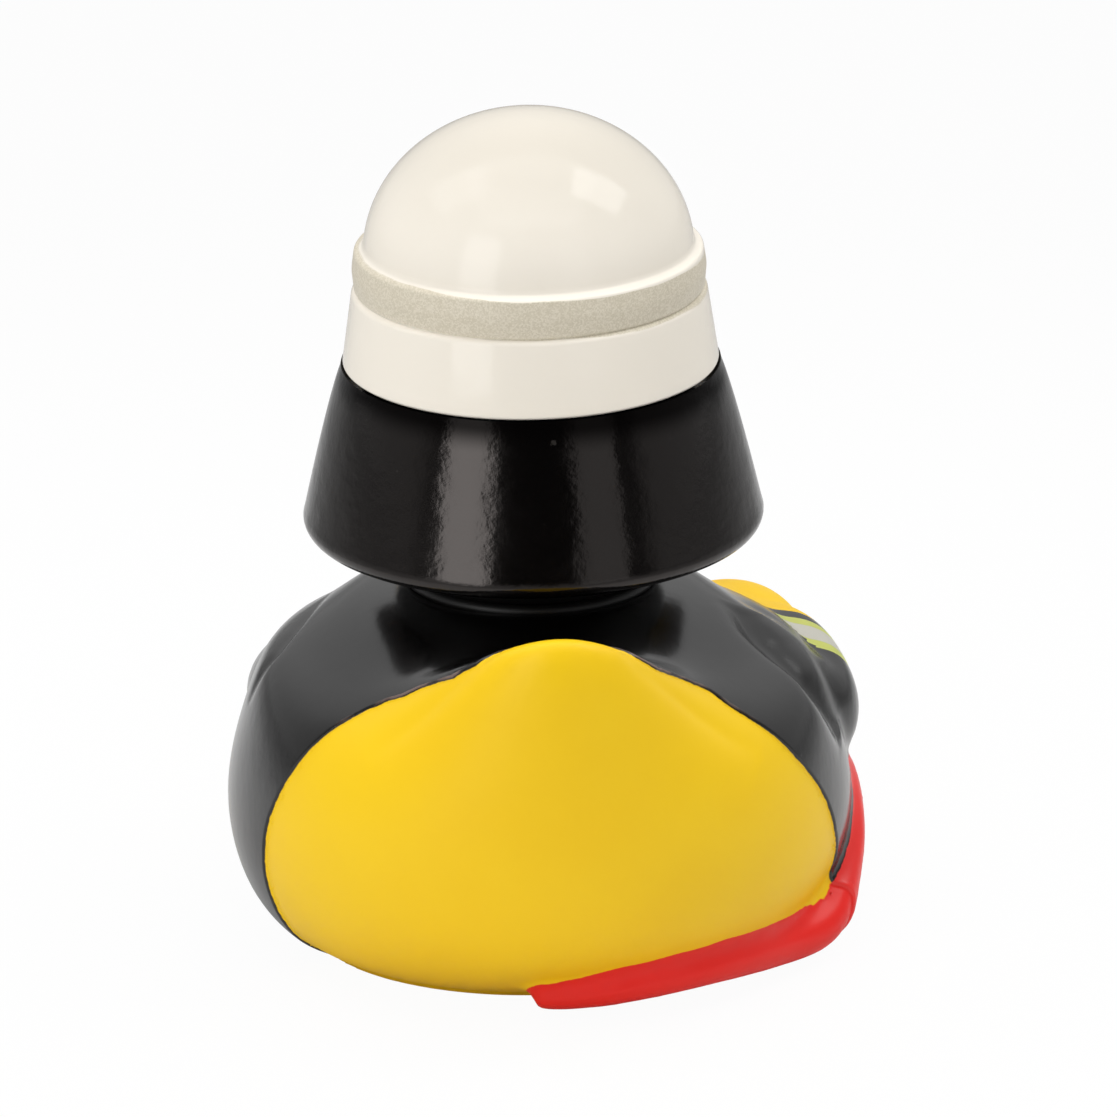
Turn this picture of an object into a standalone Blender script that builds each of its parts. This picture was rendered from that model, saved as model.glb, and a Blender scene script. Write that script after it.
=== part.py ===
# Bath toy duck dressed for fire service: hollow moulded vinyl body with a pressed in squeaker.
# Metres, +Z up. The duck faces -Y and its tail points to +Y. Its left hand is at +X.
import math

import bmesh
import bpy
from mathutils import Matrix, Vector

# Overall shape of the torso, each size written once.
WALL = 0.0024
FIT_GAP = 0.0003
TORSO_HALF_WIDTH = 0.0363
RIGHT_SWELL = 1.06
RUMP_REACH = 0.0405
CHEST_REACH = 0.0390
TAIL_TIP_HEIGHT = 0.0550
TAIL_SPREAD = 24.0
NECK_RADIUS = 0.0200
NECK_TOP = 0.0500

# Helmet, from the crown down to the rim of the neck guard.
DOME_RADIUS = 0.0198
DOME_CENTRE = 0.0791
BAND_TOP = 0.0828
BAND_BOTTOM = 0.0783
BAND_PROUD = 0.0006
SHELL_EDGE_RADIUS = 0.0213
SHELL_EDGE_HEIGHT = 0.0697
GUARD_RADIUS = 0.0262
GUARD_RIM_ROUND = 0.0016
GUARD_RIM_CENTRE = 0.0512
GUARD_FRONT = -0.0080
PEAK_REACH = 0.0285
PEAK_THICK = 0.0016
PEAK_HINGE = Vector((0.0, -0.0100, SHELL_EDGE_HEIGHT + 0.0012))
PEAK_DROOP = 9.0

# Head and bill.
HEAD_RADIUS = 0.0212
HEAD_CENTRE = Vector((0.0, -0.0015, 0.0570))
BILL_TIP = -0.0375
BILL_HEIGHT = 0.0525
BILL_HALF_WIDTH = 0.0125

# Arms, hose and nozzle.
HOSE_RADIUS = 0.0025
NOZZLE_RADIUS = 0.0042
NOZZLE_MOUTH_RADIUS = 0.0022
NOZZLE_MOUTH_DEPTH = 0.0050
NOZZLE_LENGTH = 0.0125
NOZZLE_PLACE = (-0.0238, -0.0272, 0.0220)
NOZZLE_TILT = 78.0

# How far the cutting forms reach past what they cut.
CUT_MARGIN = 0.0200

# Moves the part sideways so that the middle of its box is over the origin.
CENTRE_SHIFT = Vector((0.0020, 0.0, 0.0))

# Squeaker in the base.
BASE_HOLE_RADIUS = 0.0065
BASE_HOLE_DEPTH = 0.0120
SQUEAKER_RADIUS = BASE_HOLE_RADIUS - FIT_GAP
SQUEAKER_HEIGHT = 0.0070
SQUEAKER_RECESS = 0.0004
SQUEAKER_BORE = 0.0012

# Stations of the arms, each a place and the radius there.
RIGHT_SLEEVE = (
    ((-0.0190, 0.0010, 0.0345), 0.0066),
    ((-0.0266, -0.0005, 0.0290), 0.0086),
    ((-0.0308, -0.0030, 0.0223), 0.0095),
    ((-0.0297, -0.0105, 0.0242), 0.0088),
    ((-0.0282, -0.0160, 0.0256), 0.0080))
RIGHT_HAND = (
    ((-0.0279, -0.0160, 0.0262), 0.0067),
    ((-0.0258, -0.0225, 0.0268), 0.0069),
    ((-0.0222, -0.0275, 0.0260), 0.0061))
LEFT_SLEEVE = (
    ((0.0165, -0.0040, 0.0335), 0.0060),
    ((0.0228, -0.0090, 0.0285), 0.0076),
    ((0.0248, -0.0165, 0.0232), 0.0076),
    ((0.0240, -0.0240, 0.0200), 0.0070))
LEFT_HAND = (
    ((0.0244, -0.0230, 0.0202), 0.0056),
    ((0.0218, -0.0290, 0.0182), 0.0062),
    ((0.0176, -0.0322, 0.0176), 0.0058))

# Stations of the hose, each a place and its share of the hose's radius.
HOSE_PATH = (
    ((0.0004, 0.0276, 0.0030), 0.88), ((-0.0038, 0.0281, 0.0035), 1.00),
    ((-0.0079, 0.0284, 0.0043), 1.06), ((-0.0135, 0.0274, 0.0050), 1.12),
    ((-0.0186, 0.0250, 0.0052), 1.16), ((-0.0239, 0.0206, 0.0045), 1.20),
    ((-0.0270, 0.0171, 0.0039), 1.22), ((-0.0312, 0.0140, 0.0036), 1.26),
    ((-0.0336, 0.0119, 0.0048), 1.20), ((-0.0346, 0.0095, 0.0070), 1.10),
    ((-0.0353, 0.0074, 0.0090), 1.02), ((-0.0359, 0.0055, 0.0106), 0.98),
    ((-0.0362, 0.0036, 0.0128), 0.96), ((-0.0363, 0.0006, 0.0150), 0.96),
    ((-0.0362, -0.0030, 0.0162), 0.94), ((-0.0356, -0.0070, 0.0168), 0.94),
    ((-0.0337, -0.0130, 0.0163), 0.96), ((-0.0306, -0.0190, 0.0160), 0.98),
    ((-0.0273, -0.0245, 0.0174), 1.00), ((-0.0245, -0.0285, 0.0206), 1.00))

# Columns of the torso cage, in degrees round from the tail, closer together at the tail.
COLUMN_ANGLES = (0, 10, 21, 36, 54, 75, 98, 123, 151, 180)

# Rows of the torso cage from the base up. Each row holds radius and height at the side,
# at the rear and at the front.
TORSO_ROWS = (
    ((0.0180, -0.0030), (0.0130, -0.0030), (0.0140, -0.0030)),
    ((0.0270, -0.0006), (0.0215, -0.0006), (0.0230, -0.0006)),
    ((0.0318, 0.0035), (0.0275, 0.0030), (0.0290, 0.0030)),
    ((0.0351, 0.0100), (0.0355, 0.0100), (0.0362, 0.0100)),
    ((TORSO_HALF_WIDTH, 0.0185), (0.0400, 0.0190), (CHEST_REACH, 0.0190)),
    ((0.0337, 0.0268), (RUMP_REACH, 0.0290), (CHEST_REACH, 0.0275)),
    ((0.0314, 0.0338), (0.0408, 0.0400), (0.0362, 0.0322)),
    ((0.0266, 0.0366), (0.0400, TAIL_TIP_HEIGHT), (0.0305, 0.0339)),
    ((0.0220, 0.0386), (0.0300, 0.0428), (0.0250, 0.0372)),
    ((0.0202, 0.0424), (0.0198, 0.0440), (0.0205, 0.0424)),
    ((NECK_RADIUS, NECK_TOP), (NECK_RADIUS, NECK_TOP), (NECK_RADIUS, NECK_TOP)),
)
TAIL_ROWS = (6, 7, 8)


def clear_scene():
    for old in list(bpy.data.objects):
        bpy.data.objects.remove(old, do_unlink=True)
    for old in list(bpy.data.collections):
        bpy.data.collections.remove(old)


def new_collection(name):
    group = bpy.data.collections.new(name)
    bpy.context.scene.collection.children.link(group)
    return group


def new_object(name, data, group):
    thing = bpy.data.objects.new(name, data)
    group.objects.link(thing)
    return thing


def mesh_object(name, points, faces, group):
    data = bpy.data.meshes.new(name)
    data.from_pydata([tuple(point) for point in points], [], faces)
    shape = bmesh.new()
    shape.from_mesh(data)
    bmesh.ops.recalc_face_normals(shape, faces=shape.faces)
    shape.to_mesh(data)
    shape.free()
    return new_object(name, data, group)


def hide_form(thing):
    thing.hide_render = True
    thing.display_type = "WIRE"


def add_subdivision(thing, levels):
    smoother = thing.modifiers.new("smooth", "SUBSURF")
    smoother.levels = levels
    smoother.render_levels = levels


def add_boolean(thing, other, operation):
    joiner = thing.modifiers.new(operation.lower() + "_" + other.name, "BOOLEAN")
    joiner.operation = operation
    joiner.solver = "EXACT"
    joiner.object = other


def turned_object(name, profile, steps, group):
    """Turn a closed or axis to axis profile of radius and height pairs round Z."""
    data = bpy.data.meshes.new(name)
    points = [(radius, 0.0, height) for radius, height in profile]
    edges = [(index, index + 1) for index in range(len(points) - 1)]
    if profile[0][0] > 0.0:
        edges.append((len(points) - 1, 0))
    data.from_pydata(points, edges, [])
    thing = new_object(name, data, group)
    turner = thing.modifiers.new("turn", "SCREW")
    turner.axis = "Z"
    turner.steps = steps
    turner.render_steps = steps
    turner.use_merge_vertices = True
    turner.merge_threshold = 0.00001
    return thing


def arc(centre_radius, centre_height, radius, start, end, count):
    """Points along an arc, as radius and height pairs, angles in degrees from outwards."""
    points = []
    for index in range(count + 1):
        angle = math.radians(start + (end - start) * index / count)
        points.append((centre_radius + radius * math.cos(angle),
                       centre_height + radius * math.sin(angle)))
    return points


def blend_ring(side, rear, front, angle, is_tail):
    """Radius and height of one cage point, angle in degrees round from the tail."""
    turn = math.radians(angle)
    along = math.cos(turn)
    across = math.sin(turn)
    end = rear if along > 0.0 else front
    radius = 1.0 / math.sqrt((along / end[0]) ** 2 + (across / side[0]) ** 2)
    if is_tail and along > 0.0:
        share = math.exp(-(angle / TAIL_SPREAD) ** 2)
        plain = side[0] * 1.13
        oval = 1.0 / math.sqrt((along / plain) ** 2 + (across / side[0]) ** 2)
        radius = oval + (end[0] - plain) * share
    else:
        share = along * along
    height = side[1] + (end[1] - side[1]) * share
    return radius, height


def torso_cage(inset):
    """Points and faces of the torso cage, drawn in by the inset."""
    angles = list(COLUMN_ANGLES) + [-angle for angle in reversed(COLUMN_ANGLES[1:-1])]
    points = []
    for row, (side, rear, front) in enumerate(TORSO_ROWS):
        for angle in angles:
            radius, height = blend_ring(side, rear, front, abs(angle), row in TAIL_ROWS)
            if inset > 0.0:
                radius = max(radius - inset * 1.15, 0.001)
                lift = {0: 6.2, 1: 3.0, 2: 1.0}.get(row, -0.25 if row < 6 else -1.25)
                height = height + inset * lift if row < 9 else height
            turn = math.radians(angle)
            across = radius * math.sin(turn)
            if across < 0.0 and 1 < row < 7:
                across *= RIGHT_SWELL
            points.append((across, radius * math.cos(turn), height))
    count = len(angles)
    faces = [tuple(range(count))]
    for row in range(len(TORSO_ROWS) - 1):
        for column in range(count):
            after = (column + 1) % count
            low = row * count
            high = low + count
            faces.append((low + column, low + after, high + after, high + column))
    top = (len(TORSO_ROWS) - 1) * count
    faces.append(tuple(top + column for column in range(count)))
    return points, faces


def tube_object(name, stations, group, sides=11, levels=1):
    """A tapered tube with round ends through stations of point and radius."""
    centres = [Vector(point) for point, radius in stations]
    radii = [radius for point, radius in stations]
    first = centres[0] - (centres[1] - centres[0]).normalized() * radii[0] * 0.75
    last = centres[-1] + (centres[-1] - centres[-2]).normalized() * radii[-1] * 0.75
    centres = [first] + centres + [last]
    radii = [radii[0] * 0.55] + radii + [radii[-1] * 0.55]
    points = []
    swell = 3.0 / (2.0 + math.cos(math.tau / sides))
    for index, (centre, radius) in enumerate(zip(centres, radii)):
        before = centres[max(index - 1, 0)]
        after = centres[min(index + 1, len(centres) - 1)]
        forward = (after - before).normalized()
        sideways = forward.cross(Vector((0.0, 0.2, 1.0))).normalized()
        upward = sideways.cross(forward).normalized()
        for step in range(sides):
            angle = math.tau * step / sides
            points.append(centre + sideways * radius * swell * math.cos(angle)
                          + upward * radius * swell * math.sin(angle))
    faces = [tuple(range(sides))]
    for ring in range(len(centres) - 1):
        for step in range(sides):
            after = (step + 1) % sides
            low = ring * sides
            high = low + sides
            faces.append((low + step, low + after, high + after, high + step))
    top = (len(centres) - 1) * sides
    faces.append(tuple(top + step for step in range(sides)))
    thing = mesh_object(name, points, faces, group)
    add_subdivision(thing, levels)
    return thing


def swept_mesh(name, stations, radius, group):
    """A round cord through stations of a place and a share of the radius, with a round end."""
    data = bpy.data.curves.new(name, "CURVE")
    data.dimensions = "3D"
    data.bevel_depth = radius
    data.bevel_resolution = 3
    data.resolution_u = 2
    data.use_fill_caps = True
    (start, share), (after, _) = stations[0], stations[1]
    out = (Vector(start) - Vector(after)).normalized() * radius * share
    ends = [(Vector(start) + out * reach, share * size)
            for reach, size in ((0.98, 0.20), (0.90, 0.55), (0.65, 0.85))]
    line = data.splines.new("NURBS")
    line.points.add(len(ends) + len(stations) - 1)
    for index, (point, share) in enumerate(ends + list(stations)):
        line.points[index].co = (point[0], point[1], point[2], 1.0)
        line.points[index].radius = share
    line.order_u = 4
    line.use_endpoint_u = True
    curve = new_object(name + "_line", data, group)
    graph = bpy.context.evaluated_depsgraph_get()
    graph.update()
    mesh = bpy.data.meshes.new_from_object(curve.evaluated_get(graph))
    shape = bmesh.new()
    shape.from_mesh(mesh)
    bmesh.ops.remove_doubles(shape, verts=shape.verts, dist=0.00001)
    bmesh.ops.recalc_face_normals(shape, faces=shape.faces)
    shape.to_mesh(mesh)
    shape.free()
    thing = new_object(name, mesh, group)
    thing.matrix_world = curve.matrix_world
    bpy.data.objects.remove(curve, do_unlink=True)
    return thing


def ball_object(name, centre, radii, group, segments=24, rings=12):
    data = bpy.data.meshes.new(name)
    shape = bmesh.new()
    size = Matrix.Diagonal((radii[0], radii[1], radii[2], 1.0))
    bmesh.ops.create_uvsphere(shape, u_segments=segments, v_segments=rings, radius=1.0,
                              matrix=Matrix.Translation(centre) @ size)
    shape.to_mesh(data)
    shape.free()
    return new_object(name, data, group)


def bill_object(name, height, half_width, tip, thick, lift, group):
    """A flattened ball reaching forward from the face, thicker at its root, tip lifted."""
    data = bpy.data.meshes.new(name)
    shape = bmesh.new()
    bmesh.ops.create_uvsphere(shape, u_segments=20, v_segments=10, radius=1.0)
    root = HEAD_CENTRE.y - HEAD_RADIUS * 0.55
    for vert in shape.verts:
        forward = (1.0 - vert.co.y) / 2
        width = half_width * (0.86 + 0.14 * math.sin(math.pi * forward))
        swell = thick * (1.35 - 0.55 * forward)
        vert.co = (vert.co.x * width, root + (tip - root) * forward,
                   height + vert.co.z * swell + lift * max(forward - 0.35, 0.0) ** 2)
    bmesh.ops.recalc_face_normals(shape, faces=shape.faces)
    shape.to_mesh(data)
    shape.free()
    return new_object(name, data, group)


def box_object(name, low, high, group):
    data = bpy.data.meshes.new(name)
    centre = (Vector(low) + Vector(high)) / 2
    size = Vector(high) - Vector(low)
    shape = bmesh.new()
    bmesh.ops.create_cube(shape, size=1.0,
                          matrix=Matrix.Translation(centre)
                          @ Matrix.Diagonal((size.x, size.y, size.z, 1.0)))
    shape.to_mesh(data)
    shape.free()
    return new_object(name, data, group)


def helmet_profile(inset):
    """Outer profile of helmet and guard, or of the hollow inside them when inset."""
    if inset > 0.0:
        crown = arc(0.0, DOME_CENTRE, DOME_RADIUS - inset, 90, 0, 7)
        crown[0] = (0.0, DOME_CENTRE + DOME_RADIUS - inset)
        neck = NECK_RADIUS - inset * 1.15
        return crown + [(DOME_RADIUS - inset, 0.0600), (neck, 0.0520), (neck, 0.0440),
                        (0.0120, 0.0380), (0.0, 0.0360)]
    top_angle = math.degrees(math.asin((BAND_TOP - DOME_CENTRE) / DOME_RADIUS))
    crown = arc(0.0, DOME_CENTRE, DOME_RADIUS, 90, top_angle, 10)
    crown[0] = (0.0, DOME_CENTRE + DOME_RADIUS)
    band = DOME_RADIUS + BAND_PROUD
    profile = crown + [
        (band - 0.0002, BAND_TOP - 0.0004),
        (band + 0.0001, (BAND_TOP + BAND_BOTTOM) / 2),
        (band, BAND_BOTTOM + 0.0003),
        (band - 0.0004, BAND_BOTTOM),
        (SHELL_EDGE_RADIUS - 0.0004, BAND_BOTTOM - 0.0012),
        (SHELL_EDGE_RADIUS - 0.0001, (BAND_BOTTOM + SHELL_EDGE_HEIGHT) / 2),
        (SHELL_EDGE_RADIUS, SHELL_EDGE_HEIGHT + 0.0003),
        (SHELL_EDGE_RADIUS - 0.0003, SHELL_EDGE_HEIGHT),
    ]
    rim_centre = GUARD_RADIUS - GUARD_RIM_ROUND
    guard_top = SHELL_EDGE_HEIGHT - 0.0006
    for step in range(5):
        drop = step / 5
        profile.append((SHELL_EDGE_RADIUS + 0.0003
                        + (GUARD_RADIUS - SHELL_EDGE_RADIUS - 0.0003) * drop ** 0.8,
                        guard_top + (GUARD_RIM_CENTRE - guard_top) * drop))
    profile += arc(rim_centre, GUARD_RIM_CENTRE, GUARD_RIM_ROUND, 4, -90, 5)
    profile += [(NECK_RADIUS - 0.0010, GUARD_RIM_CENTRE - GUARD_RIM_ROUND + 0.0012),
                (0.0, GUARD_RIM_CENTRE - GUARD_RIM_ROUND + 0.0012)]
    return profile


def main():
    clear_scene()
    parts = new_collection("rubber_duck")
    forms = new_collection("forms")

    # Torso with its tail, drawn as a cage and smoothed.
    points, faces = torso_cage(0.0)
    duck = mesh_object("duck", points, faces, parts)
    add_subdivision(duck, 2)

    # Head, helmet with neck guard, and the peak over the face.
    head = ball_object("head", HEAD_CENTRE, (HEAD_RADIUS, HEAD_RADIUS, HEAD_RADIUS), forms)
    helmet = turned_object("helmet", helmet_profile(0.0), 48, forms)
    face_cut = box_object("face_opening", (-0.04, -0.05, 0.030),
                          (0.04, GUARD_FRONT, SHELL_EDGE_HEIGHT - 0.0006), forms)
    add_boolean(helmet, face_cut, "DIFFERENCE")
    peak = ball_object("peak", Vector((0.0, -0.0060, SHELL_EDGE_HEIGHT + 0.0012)),
                       (SHELL_EDGE_RADIUS - 0.0012, PEAK_REACH - 0.0060, PEAK_THICK), forms, 26, 6)
    peak.matrix_world = (Matrix.Translation(PEAK_HINGE)
                         @ Matrix.Rotation(math.radians(PEAK_DROOP), 4, "X")
                         @ Matrix.Translation(-PEAK_HINGE))

    # Bill in two halves, wide and flat with a lifted tip and a crease between them.
    upper_bill = bill_object("upper_bill", BILL_HEIGHT + 0.0016, BILL_HALF_WIDTH, BILL_TIP,
                             0.0036, 0.0060, forms)
    lower_bill = bill_object("lower_bill", BILL_HEIGHT - 0.0022, BILL_HALF_WIDTH * 0.80,
                             BILL_TIP + 0.0035, 0.0026, 0.0020, forms)

    # Arms as sleeves, each wider than the plain mitten hand in it.
    right_sleeve = tube_object("right_sleeve", RIGHT_SLEEVE, forms)
    right_hand = tube_object("right_hand", RIGHT_HAND, forms)
    left_sleeve = tube_object("left_sleeve", LEFT_SLEEVE, forms)
    left_hand = tube_object("left_hand", LEFT_HAND, forms)

    # Hose laid round the base, up the right side and into the right hand.
    hose = swept_mesh("hose", HOSE_PATH, HOSE_RADIUS, forms)
    nozzle = turned_object("nozzle", (
        (0.0, NOZZLE_LENGTH), (HOSE_RADIUS + 0.0006, NOZZLE_LENGTH),
        (HOSE_RADIUS + 0.0008, NOZZLE_LENGTH - 0.0018), (HOSE_RADIUS, NOZZLE_LENGTH - 0.0030),
        (HOSE_RADIUS + 0.0003, 0.0055), (NOZZLE_RADIUS, 0.0040), (NOZZLE_RADIUS, 0.0006),
        (HOSE_RADIUS + 0.0004, -0.0010), (0.0, -0.0010)), 20, forms)
    mouth = turned_object("nozzle_mouth", (
        (0.0, NOZZLE_LENGTH + 0.0030), (NOZZLE_MOUTH_RADIUS, NOZZLE_LENGTH + 0.0030),
        (NOZZLE_MOUTH_RADIUS, NOZZLE_LENGTH - NOZZLE_MOUTH_DEPTH),
        (0.0, NOZZLE_LENGTH - NOZZLE_MOUTH_DEPTH)), 16, forms)
    aim = (Matrix.Translation(NOZZLE_PLACE)
           @ Matrix.Rotation(math.radians(NOZZLE_TILT), 4, "X"))
    nozzle.matrix_world = aim
    mouth.matrix_world = aim

    for form in (head, helmet, peak, upper_bill, lower_bill, right_sleeve, right_hand,
                 left_sleeve, left_hand, hose, nozzle):
        add_boolean(duck, form, "UNION")

    add_boolean(duck, mouth, "DIFFERENCE")

    # Flat base, hollow inside and the round hole for the squeaker.
    reach = CHEST_REACH + CUT_MARGIN
    ground = box_object("base_cut", (-reach, -reach, -CUT_MARGIN), (reach, reach, 0.0), forms)
    add_boolean(duck, ground, "DIFFERENCE")
    points, faces = torso_cage(WALL)
    hollow = mesh_object("hollow", points, faces, forms)
    add_subdivision(hollow, 1)
    head_hollow = turned_object("head_hollow", helmet_profile(WALL), 22, forms)
    add_boolean(hollow, head_hollow, "UNION")
    add_boolean(duck, hollow, "DIFFERENCE")
    hole = turned_object("base_hole", (
        (0.0, BASE_HOLE_DEPTH), (BASE_HOLE_RADIUS, BASE_HOLE_DEPTH),
        (BASE_HOLE_RADIUS, -CUT_MARGIN), (0.0, -CUT_MARGIN)), 32, forms)
    add_boolean(duck, hole, "DIFFERENCE")

    # Squeaker: a turned plug with an air bore down its middle.
    squeaker = turned_object("squeaker", (
        (SQUEAKER_BORE, SQUEAKER_HEIGHT), (SQUEAKER_RADIUS - 0.0012, SQUEAKER_HEIGHT),
        (SQUEAKER_RADIUS, SQUEAKER_HEIGHT - 0.0014), (SQUEAKER_RADIUS, SQUEAKER_RECESS + 0.0004),
        (SQUEAKER_RADIUS - 0.0004, SQUEAKER_RECESS), (0.0042, SQUEAKER_RECESS),
        (0.0038, 0.0014), (SQUEAKER_BORE, 0.0014)), 32, parts)

    for form in forms.objects:
        hide_form(form)
    for thing in list(parts.objects) + list(forms.objects):
        thing.matrix_world = Matrix.Translation(CENTRE_SHIFT) @ thing.matrix_world

    paint(duck, "duck_vinyl", (0.93, 0.68, 0.03, 1.0), 0.45)
    paint(squeaker, "squeaker_plastic", (0.86, 0.86, 0.84, 1.0), 0.40)


def paint(thing, name, colour, roughness):
    look = bpy.data.materials.new(name)
    look.use_nodes = True
    shader = look.node_tree.nodes["Principled BSDF"]
    shader.inputs["Base Color"].default_value = colour
    shader.inputs["Roughness"].default_value = roughness
    look.diffuse_color = colour
    thing.data.materials.clear()
    thing.data.materials.append(look)


main()
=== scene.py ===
import math

import bmesh
import bpy
import numpy as np
from mathutils import Matrix, Vector, noise
from mathutils.bvhtree import BVHTree


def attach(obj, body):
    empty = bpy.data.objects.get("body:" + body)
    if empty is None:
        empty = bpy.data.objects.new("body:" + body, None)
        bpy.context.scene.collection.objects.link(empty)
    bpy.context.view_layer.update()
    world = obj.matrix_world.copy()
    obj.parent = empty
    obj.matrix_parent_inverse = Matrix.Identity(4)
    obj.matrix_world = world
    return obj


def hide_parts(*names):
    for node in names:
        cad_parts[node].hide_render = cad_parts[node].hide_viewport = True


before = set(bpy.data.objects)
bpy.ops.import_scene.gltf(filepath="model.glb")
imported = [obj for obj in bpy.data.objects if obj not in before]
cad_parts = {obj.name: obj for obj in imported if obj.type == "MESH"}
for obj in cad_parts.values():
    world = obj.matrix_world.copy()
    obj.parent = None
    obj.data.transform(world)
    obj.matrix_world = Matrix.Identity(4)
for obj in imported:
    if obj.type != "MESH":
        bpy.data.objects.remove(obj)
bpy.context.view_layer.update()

MM = 0.001

# The helmet's axis stands 2 mm to the duck's left of the row's origin.
SHIFT = Vector((0.0020, 0.0, 0.0))

# Sizes of the duck, in metres and degrees. Most are the solid's, some closer to the photo.
TORSO_HALF_WIDTH = 0.0362
RIGHT_SWELL = 1.06
RUMP_REACH = 0.0405
CHEST_REACH = 0.0390
TAIL_TIP_HEIGHT = 0.0550
TAIL_SPREAD = 24.0
TAIL_ROUND = 1.13
NECK_RADIUS = 0.0140
NECK_TOP = 0.0440
DOME_RADIUS = 0.0187
DOME_HEIGHT = 0.0163
DOME_CENTRE = 0.08195
BAND_TOP = 0.0828
BAND_BOTTOM = 0.0781
BAND_RADIUS = 0.0200
SHELL_EDGE_RADIUS = 0.0213
SHELL_EDGE_HEIGHT = 0.0694
HELMET_LEAN = 1.0
LEAN_HEIGHT = 0.0740
GUARD_RADIUS = 0.0262
GUARD_RIM_ROUND = 0.0016
GUARD_RIM_CENTRE = 0.0512
GUARD_FRONT = -0.0080
GUARD_THICK = 0.0044
GUARD_EDGE_ROUND = 0.0009
PEAK_REACH = 0.0285
PEAK_THICK = 0.0016
PEAK_HINGE = Vector((0.0, -0.0100, SHELL_EDGE_HEIGHT + 0.0012))
PEAK_DROOP = 9.0
HEAD_RADIUS = 0.0212
HEAD_DEPTH = 0.0176
HEAD_CENTRE = Vector((0.0, -0.0015, 0.0570))
BILL_TIP = -0.0375
BILL_HEIGHT = 0.0525
BILL_HALF_WIDTH = 0.0125

# The bill's halves: height, half width, tip, thickness and lift of the tip.
BILL_HALVES = (
    ("upper_bill", BILL_HEIGHT + 0.0016, BILL_HALF_WIDTH, BILL_TIP, 0.0036, 0.0060),
    ("lower_bill", BILL_HEIGHT - 0.0022, BILL_HALF_WIDTH * 0.80, BILL_TIP + 0.0035, 0.0026,
     0.0020))

# Hose, nozzle and the hole in the base.
HOSE_RADIUS = 0.0025
NOZZLE_RADIUS = 0.0042
NOZZLE_MOUTH_RADIUS = 0.0022
NOZZLE_MOUTH_DEPTH = 0.0050
NOZZLE_LENGTH = 0.0125
NOZZLE_PLACE = (-0.0238, -0.0272, 0.0220)
NOZZLE_TILT = 78.0
BASE_HOLE_RADIUS = 0.0065
BASE_HOLE_DEPTH = 0.0090

# Rows of the torso's cage from the base up: radius and height at the side, behind and in front.
COLUMN_ANGLES = (0, 10, 21, 36, 54, 75, 98, 123, 151, 180)
TORSO_ROWS = (
    ((0.0165, -0.0030), (0.0120, -0.0030), (0.0140, -0.0030)),
    ((0.0254, -0.0006), (0.0206, -0.0004), (0.0230, -0.0006)),
    ((0.0318, 0.0035), (0.0275, 0.0030), (0.0290, 0.0030)),
    ((0.0351, 0.0100), (0.0355, 0.0100), (0.0362, 0.0100)),
    ((TORSO_HALF_WIDTH, 0.0185), (0.0400, 0.0190), (CHEST_REACH, 0.0190)),
    ((0.0337, 0.0268), (RUMP_REACH, 0.0290), (CHEST_REACH, 0.0275)),
    ((0.0314, 0.0338), (0.0408, 0.0400), (0.0362, 0.0322)),
    ((0.0266, 0.0366), (0.0400, TAIL_TIP_HEIGHT), (0.0305, 0.0339)),
    ((0.0227, 0.0398), (0.0290, 0.0426), (0.0250, 0.0385)),
    ((0.0190, 0.0425), (0.0200, 0.0438), (0.0200, 0.0424)),
    ((NECK_RADIUS, NECK_TOP), (NECK_RADIUS, NECK_TOP), (NECK_RADIUS, NECK_TOP)),
)
SWOLLEN_ROWS = range(2, 7)
TAIL_ROWS = (6, 7, 8)

# Stations of the arms, with a radius, and of the hose, with a share of its radius.
RIGHT_SLEEVE = (
    ((-0.0190, 0.0010, 0.0345), 0.0066),
    ((-0.0262, -0.0005, 0.0290), 0.0078),
    ((-0.0306, -0.0030, 0.0212), 0.0095),
    ((-0.0298, -0.0105, 0.0243), 0.0089),
    ((-0.0286, -0.0163, 0.0256), 0.0082))
RIGHT_HAND = (
    ((-0.0286, -0.0163, 0.0262), 0.0067),
    ((-0.0270, -0.0225, 0.0265), 0.0069),
    ((-0.0230, -0.0275, 0.0254), 0.0060))
LEFT_SLEEVE = (
    ((0.0162, -0.0040, 0.0331), 0.0057),
    ((0.0226, -0.0090, 0.0281), 0.0075),
    ((0.0248, -0.0165, 0.0232), 0.0076),
    ((0.0240, -0.0240, 0.0200), 0.0070))
LEFT_HAND = (
    ((0.0244, -0.0230, 0.0202), 0.0056),
    ((0.0218, -0.0290, 0.0182), 0.0062),
    ((0.0176, -0.0322, 0.0176), 0.0058))
HOSE_PATH = (
    ((0.0004, 0.0276, 0.0030), 0.88), ((-0.0038, 0.0281, 0.0035), 1.00),
    ((-0.0079, 0.0284, 0.0043), 1.06), ((-0.0135, 0.0274, 0.0050), 1.12),
    ((-0.0186, 0.0250, 0.0052), 1.16), ((-0.0239, 0.0206, 0.0045), 1.20),
    ((-0.0270, 0.0171, 0.0039), 1.22), ((-0.0312, 0.0140, 0.0037), 1.22),
    ((-0.0335, 0.0119, 0.0048), 1.14), ((-0.0345, 0.0096, 0.0068), 1.04),
    ((-0.0353, 0.0075, 0.0088), 0.98), ((-0.0359, 0.0055, 0.0106), 0.97),
    ((-0.0362, 0.0036, 0.0128), 0.96), ((-0.0363, 0.0006, 0.0150), 0.96),
    ((-0.0362, -0.0030, 0.0162), 0.94), ((-0.0356, -0.0070, 0.0168), 0.94),
    ((-0.0337, -0.0130, 0.0163), 0.96), ((-0.0306, -0.0190, 0.0160), 0.98),
    ((-0.0273, -0.0245, 0.0174), 1.00), ((-0.0245, -0.0285, 0.0206), 1.00))

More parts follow.
